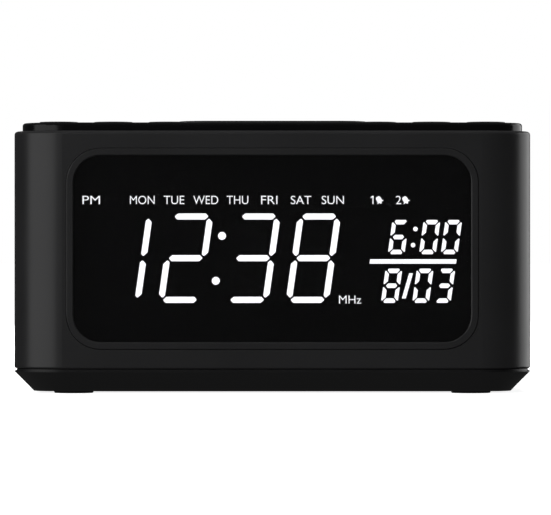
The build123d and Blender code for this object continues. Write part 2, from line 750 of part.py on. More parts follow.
usb_front, usb_back, usb_wall = 43.2, 28.0, 0.4
with BuildPart() as usb_shell:
    with BuildSketch(facing_front(usb_front)):
        with Locations((usb_x, usb_z)):
            RectangleRounded(13.2, 5.8, 0.6)
    extrude(amount=usb_front - usb_back)
    with BuildSketch(facing_front(usb_front)):
        with Locations((usb_x, usb_z)):
            Rectangle(13.2 - 2 * usb_wall, 5.8 - 2 * usb_wall)
    extrude(amount=usb_front - usb_back, mode=Mode.SUBTRACT)
    with BuildSketch(level(main_board_top)):
        with Locations((usb_x - 6.3, 34), (usb_x + 6.3, 34)):
            Rectangle(0.5, 6)
    extrude(amount=usb_z - 2 - main_board_top)
keep(usb_shell, "usb_shell")

with BuildPart() as usb_tongue:
    with BuildSketch(facing_front(usb_back + 2.5)):
        with Locations((usb_x, usb_z)):
            Rectangle(13.2 - 2 * usb_wall, 5.8 - 2 * usb_wall)
    extrude(amount=2.5)
    with BuildSketch(facing_front(42.6)):
        with Locations((usb_x, usb_z + 0.95)):
            Rectangle(11.0, 1.8)
    extrude(amount=42.6 - usb_back)
keep(usb_tongue, "usb_tongue")

with BuildPart() as antenna_gland:
    with BuildSketch(round_axis(gland_x, gland_z)):
        with BuildLine():
            Polyline((0.8, 40.6), (3.6, 40.6), (3.6, inner_rear_y), (2.6, inner_rear_y),
                     (2.6, gland_end - 0.7), (2.1, gland_end), (0.8, gland_end), close=True)
        make_face()
    revolve(axis=Axis((gland_x, 0, gland_z), (0, 1, 0)))
keep(antenna_gland, "antenna_gland")

shield = {"x": 43, "y": -12, "width": 18, "depth": 14, "height": 3.6, "sheet": 0.3}
with BuildPart() as radio_shield:
    with BuildSketch(level(main_board_top)):
        with Locations((shield["x"], shield["y"])):
            RectangleRounded(shield["width"], shield["depth"], 0.6)
    extrude(amount=shield["height"])
    fillet(radio_shield.edges().group_by(Axis.Z)[-1], 0.4)
    with BuildSketch(level(main_board_top)):
        with Locations((shield["x"], shield["y"])):
            Rectangle(shield["width"] - 2 * shield["sheet"], shield["depth"] - 2 * shield["sheet"])
    extrude(amount=shield["height"] - shield["sheet"], mode=Mode.SUBTRACT)
    with BuildSketch(level(main_board_top + shield["height"] - 0.5)):
        with Locations((shield["x"], shield["y"])):
            with GridLocations(4.5, 4.5, 3, 2):
                Circle(0.6)
    extrude(amount=1, mode=Mode.SUBTRACT)
keep(radio_shield, "radio_shield")

# centre, plan size and height of each: processor, amplifier, tuner, memory, crystal, regulator, and the
# two sockets that the ribbon cables plug into
chip_sizes = [(16, -2, 12, 12, 1.5), (29, 7, 8, 8, 1.8), (50, 10, 6, 5, 1.6), (6.5, 15, 5, 6, 1.5),
              (2, -12, 7, 3.4, 3.2), (26, 16, 11, 4.5, 5.0), (23, -22, 18, 4, 2.4), (44, 0, 18, 4, 2.4)]
with BuildPart() as board_chips:
    for x, y, width, depth, height in chip_sizes:
        with BuildSketch(level(main_board_top)):
            with Locations((x, y)):
                Rectangle(width, depth)
        extrude(amount=height)
    chamfer(board_chips.edges().filter_by(Axis.Z), 0.3)
keep(board_chips, "board_chips")

with BuildPart() as capacitors:
    with BuildSketch(level(main_board_top)):
        with Locations((8, 22), (17, 24), (44, 18), (4, 2)):
            Circle(3.15)
    extrude(amount=8.5)
    fillet(capacitors.edges().group_by(Axis.Z)[-1], 0.6)
keep(capacitors, "capacitors")

# ================= speaker =================

speaker_axis = Axis((speaker_x, 0, speaker_z), (0, 1, 0))


def turned(outline):
    """Close an outline of radius and depth and turn it about the speaker's axis, in the part in progress."""
    with BuildSketch(round_axis(speaker_x, speaker_z)) as ring:
        with BuildLine():
            Polyline(*outline, close=True)
        make_face()
    revolve(ring.sketch, axis=speaker_axis)


with BuildPart() as speaker_frame:
    turned([(10.9, 26.0), (17.6, 26.0), (18.4, 30.0), (24.0, 39.8), (26.0, 39.8), (26.0, 40.6),
            (23.1, 40.6), (23.1, 39.9), (17.8, 30.9), (16.6, 30.9), (16.6, 27.2), (10.9, 27.2)])
    with BuildSketch(facing_front(40.6)):
        with Locations((speaker_x, speaker_z)):
            with PolarLocations(27.6, 4, start_angle=45):
                Circle(3.4)
            Circle(24.5, mode=Mode.SUBTRACT)
    extrude(amount=0.8)
    with BuildSketch(facing_front(40.6)):
        with Locations((speaker_x, speaker_z)):
            with PolarLocations(28, 4, start_angle=45):
                Circle(1.5)
    extrude(amount=1, mode=Mode.SUBTRACT)
    # openings in the basket behind the cone
    with BuildSketch(facing_front(38.6)):
        with Locations((speaker_x, speaker_z)):
            with PolarLocations(21.2, 4):
                RectangleRounded(3.8, 13, 1.2)
    extrude(amount=6.5, mode=Mode.SUBTRACT)
keep(speaker_frame, "speaker_frame")

with BuildPart() as speaker_magnet:
    turned([(11.6, 15.5), (17.0, 15.5), (17.0, 23.5), (11.6, 23.5)])
    chamfer(speaker_magnet.edges().group_by(Axis.Y)[0], 0.6)
keep(speaker_magnet, "speaker_magnet")

with BuildPart() as speaker_yoke:
    turned([(0, 12.5), (15.4, 12.5), (16.0, 13.1), (16.0, 15.5), (9.4, 15.5), (9.4, 26.0), (0, 26.0)])
    turned([(10.7, 23.5), (16.2, 23.5), (16.2, 26.0), (10.7, 26.0)])
keep(speaker_yoke, "speaker_yoke")

with BuildPart() as voice_coil:
    turned([(9.85, 23.0), (10.05, 23.0), (10.05, 24.9), (10.4, 24.9), (10.4, 28.6), (10.05, 28.6),
            (10.05, 33.5), (9.85, 33.5)])
keep(voice_coil, "voice_coil")

with BuildPart() as speaker_cone:
    turned([(10.07, 33.0), (10.5, 33.0), (19.8, 40.3), (20.5, 40.3), (20.5, 40.6), (19.5, 40.6),
            (10.07, 33.45)])
keep(speaker_cone, "speaker_cone")

cap_radius, cap_edge, cap_peak = 21.0, 10.8, 37.3
cap_angle = degrees(asin(cap_edge / cap_radius))
with BuildPart() as dust_cap:
    with BuildSketch(round_axis(speaker_x, speaker_z)):
        with BuildLine():
            CenterArc((0, cap_peak - cap_radius), cap_radius, 90 - cap_angle, cap_angle)
        trace(line_width=0.3)
    revolve(axis=speaker_axis)
keep(dust_cap, "speaker_dust_cap")

with BuildPart() as surround:
    with BuildSketch(round_axis(speaker_x, speaker_z)):
        with BuildLine():
            Line((20.0, 40.75), (20.8, 40.75))
            ThreePointArc((20.8, 40.75), (21.8, 39.75), (22.8, 40.75))
            Line((22.8, 40.75), (24.6, 40.75))
        trace(line_width=0.3)
    revolve(axis=speaker_axis)
keep(surround, "speaker_surround")

with BuildPart() as spider:
    turned([(10.05, 30.9), (11.2, 31.5), (12.4, 30.9), (13.6, 31.5), (14.8, 30.9), (16.0, 31.2),
            (16.6, 30.9), (17.6, 30.9), (17.6, 31.2), (16.7, 31.2), (16.0, 31.5), (14.8, 31.2),
            (13.6, 31.8), (12.4, 31.2), (11.2, 31.8), (10.05, 31.2)])
keep(spider, "speaker_spider")

# ================= backup cell =================

with BuildPart() as battery_hatch:
    with BuildSketch(level(0.9)):
        with Locations((cell_x, cell_y)):
            Circle(hatch_radius)
    extrude(amount=1.5)
    with BuildSketch(level(2.4)):
        with Locations((cell_x, cell_y)):
            Circle(11.3)
    extrude(amount=3.45)
    with BuildSketch(level(4.4)):
        with Locations((cell_x, cell_y)):
            with PolarLocations(12.0, 3):
                Rectangle(2.4, 5.8)
    extrude(amount=1.2)
    with BuildSketch(level(0.9)):
        with Locations((cell_x, cell_y)):
            SlotOverall(15, 2.2)
    extrude(amount=1.1, mode=Mode.SUBTRACT)
    with BuildSketch(level(5.85)):
        with Locations((cell_x, cell_y)):
            Circle(9.2)
    extrude(amount=-2.0, mode=Mode.SUBTRACT)
keep(battery_hatch, "battery_hatch")

with BuildPart() as coin_cell:
    with BuildSketch(level(5.9)):
        with Locations((cell_x, cell_y)):
            Circle(cell_radius)
    extrude(amount=2.7)
    fillet(coin_cell.edges().group_by(Axis.Z)[0], 0.4)
    with BuildSketch(level(8.6)):
        with Locations((cell_x, cell_y)):
            Circle(cell_radius - 1.4)
    extrude(amount=0.5)
keep(coin_cell, "coin_cell")

with BuildPart() as cell_contacts:
    with BuildSketch(Plane(origin=(0, cell_y + 2, 0), x_dir=(1, 0, 0), z_dir=(0, -1, 0))):
        with BuildLine():
            Polyline((cell_x - 8, 13), (cell_x - 8, 9.95), (cell_x - 3, 9.95), (cell_x, 9.3),
                     (cell_x + 3, 9.95), (cell_x + 7, 9.95))
        trace(line_width=0.25)
    extrude(amount=4)
    with BuildSketch(level(6.2)):
        with Locations((cell_x, cell_y + 10.2)):
            Rectangle(4, 0.3)
    extrude(amount=6.8)
keep(cell_contacts, "cell_contacts")

# ================= inner cables =================

ribbon_thickness = 0.25
with BuildPart() as ribbon_cables:
    # from the display board's back down to the main board
    with BuildSketch(Plane(origin=(15, 0, 0), x_dir=(0, 1, 0), z_dir=(1, 0, 0))):
        with BuildLine():
            FilletPolyline((block_back_y + board_thickness, 40), (-26.5, 40), (-25.5, 24), (-22, 20.3),
                           radius=1.2)
        trace(line_width=ribbon_thickness)
    extrude(amount=16)
    # from the key board's underside down to the main board
    with BuildSketch(Plane(origin=(36, 0, 0), x_dir=(0, 1, 0), z_dir=(1, 0, 0))):
        with BuildLine():
            FilletPolyline((-3, key_board_bottom - 0.2), (-3, 62), (6, 48), (-2, 34), (0, 20.3), radius=5)
        trace(line_width=ribbon_thickness)
    extrude(amount=16)
keep(ribbon_cables, "ribbon_cables")

board_pad_z = main_board_top + 1.0  # where the wires reach the board's pads
lead_routes = []
for shift in (0, 3):
    x = speaker_x + shift
    lead_routes.append([(x + 19, 24, 50), (x + 24, 15, 47), (x + 27, 8, 37), (x + 31, 9, 27),
                        (x + 36, 10, board_pad_z)])
lead_routes.append([(cell_x - 8, cell_y, 13.6), (cell_x - 6, cell_y - 7, 16), (cell_x + 6, cell_y - 12, 15),
                    (cell_x + 19, cell_y - 11, 17), (cell_x + 30, cell_y - 7, board_pad_z)])
lead_routes.append([(cell_x, cell_y + 10.3, 13.6), (cell_x + 6, cell_y + 8, 16.4), (cell_x + 15, cell_y, 15.6),
                    (cell_x + 23, cell_y - 1, 17.4), (cell_x + 30, cell_y + 2, board_pad_z)])
with BuildPart() as hookup_wires:
    for route in lead_routes:
        with BuildLine() as lead:
            FilletPolyline(*route, radius=2.5)
        with BuildSketch(lead.wire() ^ 0):
            Circle(0.6)
        sweep(path=lead.wire())
keep(hookup_wires, "hookup_wires")

# ================= screws =================


def screw_upwards(places, head_low, head_radius, head_height, shank_radius, length):
    """Pan-head screws with their heads below, driven up along +Z, in the part in progress."""
    with BuildSketch(level(head_low)) as heads:
        with Locations(*places):
            Circle(head_radius)
    extrude(heads.sketch, amount=head_height)
    with BuildSketch(level(head_low + head_height)) as shanks:
        with Locations(*places):
            Circle(shank_radius)
    extrude(shanks.sketch, amount=length)
    with BuildSketch(level(head_low)) as crosses:
        with Locations(*places):
            Rectangle(2.6, 0.6)
            Rectangle(0.6, 2.6)
    extrude(crosses.sketch, amount=0.9, mode=Mode.SUBTRACT)


corners = [(x, y) for x in (-foot_x, foot_x) for y in (-foot_y, foot_y)]
plate_corners = [(x, y) for x in (-plate_screw_x, plate_screw_x) for y in (-plate_screw_y, plate_screw_y)]

with BuildPart() as base_screws:
    screw_upwards(corners, 6.9, 2.7, 2.0, 1.25, 12.5)
keep(base_screws, "base_screws")

with BuildPart() as panel_fixings:
    with BuildSketch(facing_front(panel_outer_y)):
        with Locations(*panel_screws):
            Circle(2.75)
    extrude(amount=1.3, taper=45)
    with BuildSketch(facing_front(panel_outer_y)):
        with Locations(*panel_screws):
            Circle(1.25)
    extrude(amount=10)
    with BuildSketch(facing_front(panel_outer_y)):
        with Locations(*panel_screws):
            Rectangle(2.6, 0.6)
            Rectangle(0.6, 2.6)
    extrude(amount=0.9, mode=Mode.SUBTRACT)
keep(panel_fixings, "panel_screws")

with BuildPart() as inner_screws:
    screw_upwards(plate_corners, ledge_top - ledge_thickness - 1.8, 2.6, 1.8, 1.25, 6.4)
    screw_upwards(key_screws, key_board_bottom - 1.5, 2.2, 1.5, 1.0, 8.4)
    # main board screws, driven down into the standoffs
    with BuildSketch(level(main_board_top)):
        with Locations(*standoffs):
            Circle(2.2)
    extrude(amount=1.5)
    with BuildSketch(level(main_board_top)):
        with Locations(*standoffs):
            Circle(1.0)
    extrude(amount=-8)
    # display board screws, driven forwards into the case
    with BuildSketch(facing_front(block_back_y + board_thickness)):
        with Locations(*display_screws):
            Circle(2.4)
    extrude(amount=-1.6)
    with BuildSketch(facing_front(block_back_y + board_thickness)):
        with Locations(*display_screws):
            Circle(1.25)
    extrude(amount=7.4)
    # speaker screws, driven backwards into the rear panel
    with BuildSketch(facing_front(39.6)):
        with Locations((speaker_x, speaker_z)):
            with PolarLocations(28, 4, start_angle=45):
                Circle(2.1)
    extrude(amount=1.3)
    with BuildSketch(facing_front(39.6)):
        with Locations((speaker_x, speaker_z)):
            with PolarLocations(28, 4, start_angle=45):
                Circle(1.0)
    extrude(amount=-3.0)
keep(inner_screws, "inner_screws")
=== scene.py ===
import bpy
import json
import math
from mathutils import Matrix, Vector


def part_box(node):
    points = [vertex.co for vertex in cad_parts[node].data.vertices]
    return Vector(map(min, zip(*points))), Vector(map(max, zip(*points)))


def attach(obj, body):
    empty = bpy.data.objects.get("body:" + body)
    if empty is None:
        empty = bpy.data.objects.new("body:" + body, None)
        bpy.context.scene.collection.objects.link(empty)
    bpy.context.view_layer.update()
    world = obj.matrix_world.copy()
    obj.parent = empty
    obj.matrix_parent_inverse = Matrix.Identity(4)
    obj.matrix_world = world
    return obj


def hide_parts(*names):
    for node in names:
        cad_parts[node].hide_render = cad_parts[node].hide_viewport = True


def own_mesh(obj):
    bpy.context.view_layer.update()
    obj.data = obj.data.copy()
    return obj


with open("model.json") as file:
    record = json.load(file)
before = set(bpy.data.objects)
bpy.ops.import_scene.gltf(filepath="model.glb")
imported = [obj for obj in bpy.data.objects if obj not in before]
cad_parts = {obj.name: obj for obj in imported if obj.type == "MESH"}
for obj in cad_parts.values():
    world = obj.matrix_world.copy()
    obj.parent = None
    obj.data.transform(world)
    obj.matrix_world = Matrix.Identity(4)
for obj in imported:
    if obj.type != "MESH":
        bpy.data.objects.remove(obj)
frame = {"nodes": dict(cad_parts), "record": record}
bpy.context.view_layer.update()
mm = 0.001
housing = "housing"


# small helpers for working in edit mode without a window

def pickUp(obj):
    if bpy.context.object and bpy.context.object.mode != "OBJECT":
        bpy.ops.object.mode_set(mode="OBJECT")
    bpy.ops.object.select_all(action="DESELECT")
    obj.select_set(True)
    bpy.context.view_layer.objects.active = obj


def selectFaces(obj, wanted):
    pickUp(obj)
    bpy.ops.object.mode_set(mode="EDIT")
    bpy.ops.mesh.select_mode(type="FACE")
    bpy.ops.mesh.select_all(action="DESELECT")
    bpy.ops.object.mode_set(mode="OBJECT")
    for face in obj.data.polygons:
        face.select = wanted(face)
    bpy.ops.object.mode_set(mode="EDIT")


def selectEdges(obj, wanted):
    pickUp(obj)
    bpy.ops.object.mode_set(mode="EDIT")
    bpy.ops.mesh.select_mode(type="EDGE")
    bpy.ops.mesh.select_all(action="DESELECT")
    bpy.ops.object.mode_set(mode="OBJECT")
    points = obj.data.vertices
    for edge in obj.data.edges:
        a, b = (points[i].co for i in edge.vertices)
        edge.select = wanted(a, b)
    bpy.ops.object.mode_set(mode="EDIT")


def pushOut(x=0.0, y=0.0, z=0.0):
    bpy.ops.mesh.extrude_region_move(TRANSFORM_OT_translate={"value": (x, y, z)})


def insetBy(thickness, depth=0.0):
    bpy.ops.mesh.inset(thickness=thickness, depth=depth)


def topFace(obj):
    return max(f.center.z for f in obj.data.polygons if f.normal.z > 0.9)


def startBlock(low, high):
    # a block between two corners, with its place in its mesh
    centre, size = (Vector(low) + Vector(high)) / 2, Vector(high) - Vector(low)
    bpy.ops.object.select_all(action="DESELECT")
    bpy.ops.mesh.primitive_cube_add(size=1, location=centre, scale=size)
    block = bpy.context.object
    bpy.ops.object.transform_apply(location=True, rotation=True, scale=True)
    return block


def startDisc(centre, radius, depth, sides=72):
    bpy.ops.object.select_all(action="DESELECT")
    bpy.ops.mesh.primitive_cylinder_add(vertices=sides, radius=radius, depth=depth, location=centre)
    disc = bpy.context.object
    bpy.ops.object.transform_apply(location=True, rotation=True, scale=True)
    return disc


def roundUprights(obj, radius, steps):
    # rounds the four upright edges of a block
    selectEdges(obj, lambda a, b: abs(a.z - b.z) > 1e-6 and (a - b).xy.length < 1e-7)
    bpy.ops.mesh.bevel(offset=radius, segments=steps, affect="EDGES")


def roundRim(obj, height, radius, steps):
    # rounds the edges that run round a level face
    selectEdges(obj, lambda a, b: abs(a.z - height) < 1e-7 and abs(b.z - height) < 1e-7)
    bpy.ops.mesh.bevel(offset=radius, segments=steps, affect="EDGES")


def joinUp(pieces):
    pickUp(pieces[0])
    for piece in pieces[1:]:
        piece.select_set(True)
    bpy.ops.object.join()
    return pieces[0]


def copyPiece(piece, shift):
    pickUp(piece)
    bpy.ops.object.duplicate()
    twin = bpy.context.object
    twin.location = Vector(twin.location) + Vector(shift)
    bpy.ops.object.transform_apply(location=True, rotation=True, scale=True)
    return twin


def layOut(piece, facing, centre, turn=0.0):
    # turns a flat mark, drawn face up round the origin, to its surface: "up", "front" or "back"
    turns = {"up": (0, 0), "front": (90, 0), "back": (90, 180)}
    pickUp(piece)
    piece.rotation_euler = (0, 0, math.radians(turn))
    bpy.ops.object.transform_apply(location=True, rotation=True, scale=True)
    tilt, spin = turns[facing]
    piece.rotation_euler = (math.radians(tilt), 0, math.radians(spin))
    piece.location = centre
    bpy.ops.object.transform_apply(location=True, rotation=True, scale=True)
    return piece


def narrow(x=1.0, y=1.0, z=1.0, centre=(0, 0, 0)):
    bpy.ops.transform.resize(value=(x, y, z), center_override=centre)


def turnOutwards(obj):
    pickUp(obj)
    bpy.ops.object.mode_set(mode="EDIT")
    bpy.ops.mesh.select_all(action="SELECT")
    bpy.ops.mesh.remove_doubles(threshold=1e-7)
    bpy.ops.mesh.normals_make_consistent(inside=False)
    bpy.ops.object.mode_set(mode="OBJECT")


def drawWord(word, width, height, thick, weight=0.0):
    # a word of exactly that width and cap height, face up round the origin
    bpy.ops.object.select_all(action="DESELECT")
    bpy.ops.object.text_add()
    text = bpy.context.object
    text.data.body = word
    text.data.extrude = 0.05
    text.data.offset = weight
    text.data.resolution_u = 8
    bpy.ops.object.convert(target="MESH")
    letters = bpy.context.object
    xs, ys, zs = zip(*(v.co for v in letters.data.vertices))
    letters.location = (-(min(xs) + max(xs)) / 2, -(min(ys) + max(ys)) / 2, -min(zs))
    bpy.ops.object.transform_apply(location=True, rotation=True, scale=True)
    letters.scale = (width / (max(xs) - min(xs)), height / (max(ys) - min(ys)), thick / (max(zs) - min(zs)))
    bpy.ops.object.transform_apply(location=True, rotation=True, scale=True)
    turnOutwards(letters)
    return letters


def drawArc(radius, width, thick, middle, sweep, steps=24):
    # a flat stroke bent round the origin, face up, its middle at that angle from +X, in degrees
    bpy.ops.object.select_all(action="DESELECT")
    bpy.ops.mesh.primitive_plane_add(size=1, rotation=(math.radians(90), 0, 0))
    stroke = bpy.context.object
    stroke.scale = (width, thick, 1)
    stroke.location = (radius, 0, thick / 2)
    bpy.ops.object.transform_apply(location=True, rotation=True, scale=True)
    bpy.ops.object.mode_set(mode="EDIT")
    bpy.ops.mesh.select_all(action="SELECT")
    bpy.ops.mesh.spin(steps=steps, angle=math.radians(sweep), center=(0, 0, 0), axis=(0, 0, 1))
    bpy.ops.mesh.select_all(action="SELECT")
    bpy.ops.mesh.fill_holes(sides=4)
    bpy.ops.object.mode_set(mode="OBJECT")
    turnOutwards(stroke)
    stroke.rotation_euler = (0, 0, math.radians(middle + sweep / 2))  # the spin runs clockwise
    bpy.ops.object.transform_apply(location=True, rotation=True, scale=True)
    return stroke


def drawBar(x, y, width, height, thick):
    bar = startBlock((x - width / 2, y - height / 2, 0), (x + width / 2, y + height / 2, thick))
    roundUprights(bar, min(width, height) * 0.35, 3)
    bpy.ops.object.mode_set(mode="OBJECT")
    return bar


def drawBell(width, height, thick, knob=True):
    # dome, flared mouth and clapper, standing upright round the origin
    waist = width * 0.66
    bell = startBlock((-waist / 2, -height * 0.10, 0), (waist / 2, height * 0.18, thick))
    for grow, reaches in ((1, ((0.12, 0.92), (0.09, 0.80), (0.05, 0.58))),
                          (-1, ((0.10, 1.08), (0.08, 1.28), (0.05, 1.10)))):
        selectFaces(bell, lambda f: f.normal.y * grow > 0.9)
        for step, share in reaches:
            pushOut(y=height * step * grow)
            narrow(x=share)
        bpy.ops.object.mode_set(mode="OBJECT")
    parts = [bell, startDisc((0, -height * 0.39, thick / 2), height * 0.11, thick, 20)]
    if knob:
        parts.append(startDisc((0, height * 0.46, thick / 2), height * 0.06, thick, 16))
    return joinUp(parts)


def finishPiece(piece, name, slotName, body=housing, replaced=(), smoothAngle=35, finish=None):
    pickUp(piece)
    bpy.ops.object.transform_apply(location=True, rotation=True, scale=True)
    bpy.ops.object.shade_smooth_by_angle(angle=math.radians(smoothAngle))
    piece.name = name
    piece.data.name = name
    piece.data.materials.clear()
    piece.data.materials.append(finish or finishFor(slotName))
    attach(piece, body)
    if replaced:
        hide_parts(*replaced)
    return piece


# materials
# colour is linear; grain is the size of the surface texture in mm and depth how deep it is in mm;
# mottle is how much the colour and roughness drift over a hand's breadth

plastics = {
    "case_black": dict(colour=(0.0135, 0.0135, 0.0140), rough=0.33, specular=0.42,
                       grain=0.45, depth=0.008, mottle=0.06),
    # base_black is case_black at under half its colour: painted shade on the base cover, whose chamfer faces
    # the floor
    "base_black": dict(colour=(0.0062, 0.0062, 0.0065), rough=0.42, specular=0.36,
                       grain=0.45, depth=0.008, mottle=0.06),
    "plate_black": dict(colour=(0.0018, 0.0018, 0.0020), rough=0.20, specular=0.30,
                        grain=0.60, depth=0.002, mottle=0.06),
    "key_black": dict(colour=(0.0080, 0.0080, 0.0085), rough=0.42, specular=0.40,
                      grain=0.30, depth=0.005, mottle=0.08),
    "film_black": dict(colour=(0.0015, 0.0015, 0.0015), rough=0.75, specular=0.10,
                       grain=0.50, depth=0.002, mottle=0.05),
    "reflector_grey": dict(colour=(0.30, 0.30, 0.30), rough=0.55, specular=0.30,
                           grain=0.60, depth=0.006, mottle=0.08),
    "segment_unlit": dict(colour=(0.0020, 0.0020, 0.0020), rough=0.70, specular=0.10,
                          grain=0.40, depth=0.002, mottle=0.05),
    "led_white": dict(colour=(0.85, 0.78, 0.35), rough=0.40, specular=0.50,
                      grain=0.20, depth=0.004, mottle=0.12),
    "component_black": dict(colour=(0.013, 0.013, 0.014), rough=0.48, specular=0.45,
                            grain=0.30, depth=0.008, mottle=0.12),
    "tongue_white": dict(colour=(0.72, 0.72, 0.69), rough=0.40, specular=0.45,
                         grain=0.30, depth=0.004, mottle=0.04),
    "plunger_grey": dict(colour=(0.22, 0.22, 0.23), rough=0.45, specular=0.45,
                         grain=0.25, depth=0.004, mottle=0.06),
    "ribbon_grey": dict(colour=(0.32, 0.32, 0.33), rough=0.42, specular=0.50,
                        grain=0.80, depth=0.010, mottle=0.10),
    "wire_red": dict(colour=(0.42, 0.02, 0.015), rough=0.40, specular=0.50,
                     grain=0.60, depth=0.006, mottle=0.10),
    "foot_rubber": dict(colour=(0.014, 0.014, 0.014), rough=0.82, specular=0.22,
                        grain=0.60, depth=0.020, mottle=0.20),
    "surround_rubber": dict(colour=(0.012, 0.012, 0.012), rough=0.60, specular=0.35,
                            grain=0.40, depth=0.010, mottle=0.15),
}

metals = {
    "grille_steel": dict(colour=(0.012, 0.012, 0.012), metallic=0.0, rough=0.46,
                         grain=0.25, depth=0.006, streak=1.0),
    "component_can": dict(colour=(0.58, 0.58, 0.60), metallic=1.0, rough=0.34,
                          grain=0.20, depth=0.004, streak=1.0),
    "shield_tin": dict(colour=(0.60, 0.60, 0.59), metallic=1.0, rough=0.38,
                       grain=0.60, depth=0.010, streak=8.0),
    "socket_metal": dict(colour=(0.70, 0.69, 0.66), metallic=1.0, rough=0.22,
                         grain=0.30, depth=0.003, streak=4.0),
    "speaker_steel": dict(colour=(0.50, 0.50, 0.50), metallic=1.0, rough=0.36,
                          grain=0.50, depth=0.008, streak=2.0),
    "magnet_ferrite": dict(colour=(0.030, 0.030, 0.033), metallic=0.0, rough=0.62,
                           grain=0.35, depth=0.030, streak=1.0),
    "coil_copper": dict(colour=(0.75, 0.33, 0.15), metallic=1.0, rough=0.30,
                        grain=0.15, depth=0.030, streak=30.0),
    "cell_steel": dict(colour=(0.66, 0.66, 0.66), metallic=1.0, rough=0.26,
                       grain=0.40, depth=0.004, streak=6.0),
    "contact_brass": dict(colour=(0.80, 0.60, 0.28), metallic=1.0, rough=0.28,
                          grain=0.40, depth=0.005, streak=6.0),
    "spring_steel": dict(colour=(0.52, 0.52, 0.53), metallic=1.0, rough=0.30,
                         grain=0.30, depth=0.004, streak=1.0),
    "screw_steel": dict(colour=(0.085, 0.085, 0.090), metallic=1.0, rough=0.38,
                        grain=0.30, depth=0.008, streak=1.0),
}

woven = {
    "cone_paper": dict(colour=(0.018, 0.018, 0.018), rough=0.88, grain=0.9, depth=0.05),
    "spider_cloth": dict(colour=(0.42, 0.22, 0.08), rough=0.90, grain=0.6, depth=0.08),
}

smoked = dict(colour=(0.62, 0.62, 0.64), rough=0.015, ior=1.49)
lit = dict(strength=1.85, legend=1.42, colour=(1.0, 1.0, 1.0), edgeFall=0.06, spread=5.0)
solderMask = dict(light=(0.010, 0.105, 0.040), dark=(0.006, 0.060, 0.024), rough=0.30, trackPitch=1.6)

made = {}


def newMaterial(name):
    material = bpy.data.materials.new(name)
    material.use_nodes = True
    nodes, links = material.node_tree.nodes, material.node_tree.links
    shader = nodes["Principled BSDF"] if "Principled BSDF" in nodes else nodes.new("ShaderNodeBsdfPrincipled")
    place = nodes.new("ShaderNodeTexCoord")
    made[name] = material
    return material, nodes, links, shader, place


def addNoise(nodes, links, place, size, detail=2.0, stretch=(1, 1, 1)):
    # a noise whose blotches are about size mm across
    mapping = nodes.new("ShaderNodeMapping")
    mapping.inputs["Scale"].default_value = stretch
    noise = nodes.new("ShaderNodeTexNoise")
    noise.inputs["Scale"].default_value = 1 / (size * mm)
    noise.inputs["Detail"].default_value = detail
    links.new(place.outputs["Object"], mapping.inputs["Vector"])
    links.new(mapping.outputs["Vector"], noise.inputs["Vector"])
    return noise


def addRange(nodes, links, source, low, high):
    spread = nodes.new("ShaderNodeMapRange")
    spread.inputs["From Min"].default_value = 0.3
    spread.inputs["From Max"].default_value = 0.7
    spread.inputs["To Min"].default_value = low
    spread.inputs["To Max"].default_value = high
    links.new(source, spread.inputs["Value"])
    return spread.outputs["Result"]


def addTint(nodes, links, factor, colour, drift):
    # the base colour drifts between a darker and a lighter tone
    mix = nodes.new("ShaderNodeMix")
    mix.data_type = "RGBA"
    mix.inputs["A"].default_value = (*[c * (1 - drift) for c in colour], 1)
    mix.inputs["B"].default_value = (*[c * (1 + drift) for c in colour], 1)
    links.new(factor, mix.inputs["Factor"])
    return mix.outputs["Result"]


def addBump(nodes, links, shader, height, depth):
    bump = nodes.new("ShaderNodeBump")
    bump.inputs["Distance"].default_value = depth * mm
    bump.inputs["Strength"].default_value = 1.0
    links.new(height, bump.inputs["Height"])
    links.new(bump.outputs["Normal"], shader.inputs["Normal"])


def makePlastic(name):
    look = plastics[name]
    material, nodes, links, shader, place = newMaterial(name)
    drift = addNoise(nodes, links, place, 38, 3.0)
    grain = addNoise(nodes, links, place, look["grain"], 2.0)
    tone = addRange(nodes, links, drift.outputs["Fac"], 0, 1)
    links.new(addTint(nodes, links, tone, look["colour"], look["mottle"]), shader.inputs["Base Color"])
    rough = addRange(nodes, links, drift.outputs["Fac"], look["rough"] - 0.03, look["rough"] + 0.03)
    links.new(rough, shader.inputs["Roughness"])
    shader.inputs["Specular IOR Level"].default_value = look["specular"]
    addBump(nodes, links, shader, grain.outputs["Fac"], look["depth"])
    return material


def makeMetal(name):
    look = metals[name]
    material, nodes, links, shader, place = newMaterial(name)
    drift = addNoise(nodes, links, place, 9, 3.0)
    grain = addNoise(nodes, links, place, look["grain"], 3.0, (1, 1, look["streak"]))
    tone = addRange(nodes, links, drift.outputs["Fac"], 0, 1)
    links.new(addTint(nodes, links, tone, look["colour"], 0.10), shader.inputs["Base Color"])
    rough = addRange(nodes, links, grain.outputs["Fac"], look["rough"] - 0.07, look["rough"] + 0.09)
    links.new(rough, shader.inputs["Roughness"])
    shader.inputs["Metallic"].default_value = look["metallic"]
    addBump(nodes, links, shader, grain.outputs["Fac"], look["depth"])
    return material


def makeWoven(name):
    look = woven[name]
    material, nodes, links, shader, place = newMaterial(name)
    fibre = addNoise(nodes, links, place, look["grain"], 5.0, (1, 0.35, 1))
    tone = addRange(nodes, links, fibre.outputs["Fac"], 0, 1)
    links.new(addTint(nodes, links, tone, look["colour"], 0.25), shader.inputs["Base Color"])
    shader.inputs["Roughness"].default_value = look["rough"]
    shader.inputs["Sheen Weight"].default_value = 0.08
    addBump(nodes, links, shader, fibre.outputs["Fac"], look["depth"])
    return material


def makeSmoked():
    material, nodes, links, shader, place = newMaterial("lens_smoke")
    haze = addNoise(nodes, links, place, 30, 2.0)
    rough = addRange(nodes, links, haze.outputs["Fac"], smoked["rough"] * 0.6, smoked["rough"] * 1.4)
    links.new(rough, shader.inputs["Roughness"])
    shader.inputs["Base Color"].default_value = (*smoked["colour"], 1)
    shader.inputs["IOR"].default_value = smoked["ior"]
    shader.inputs["Transmission Weight"].default_value = 1.0
    return material


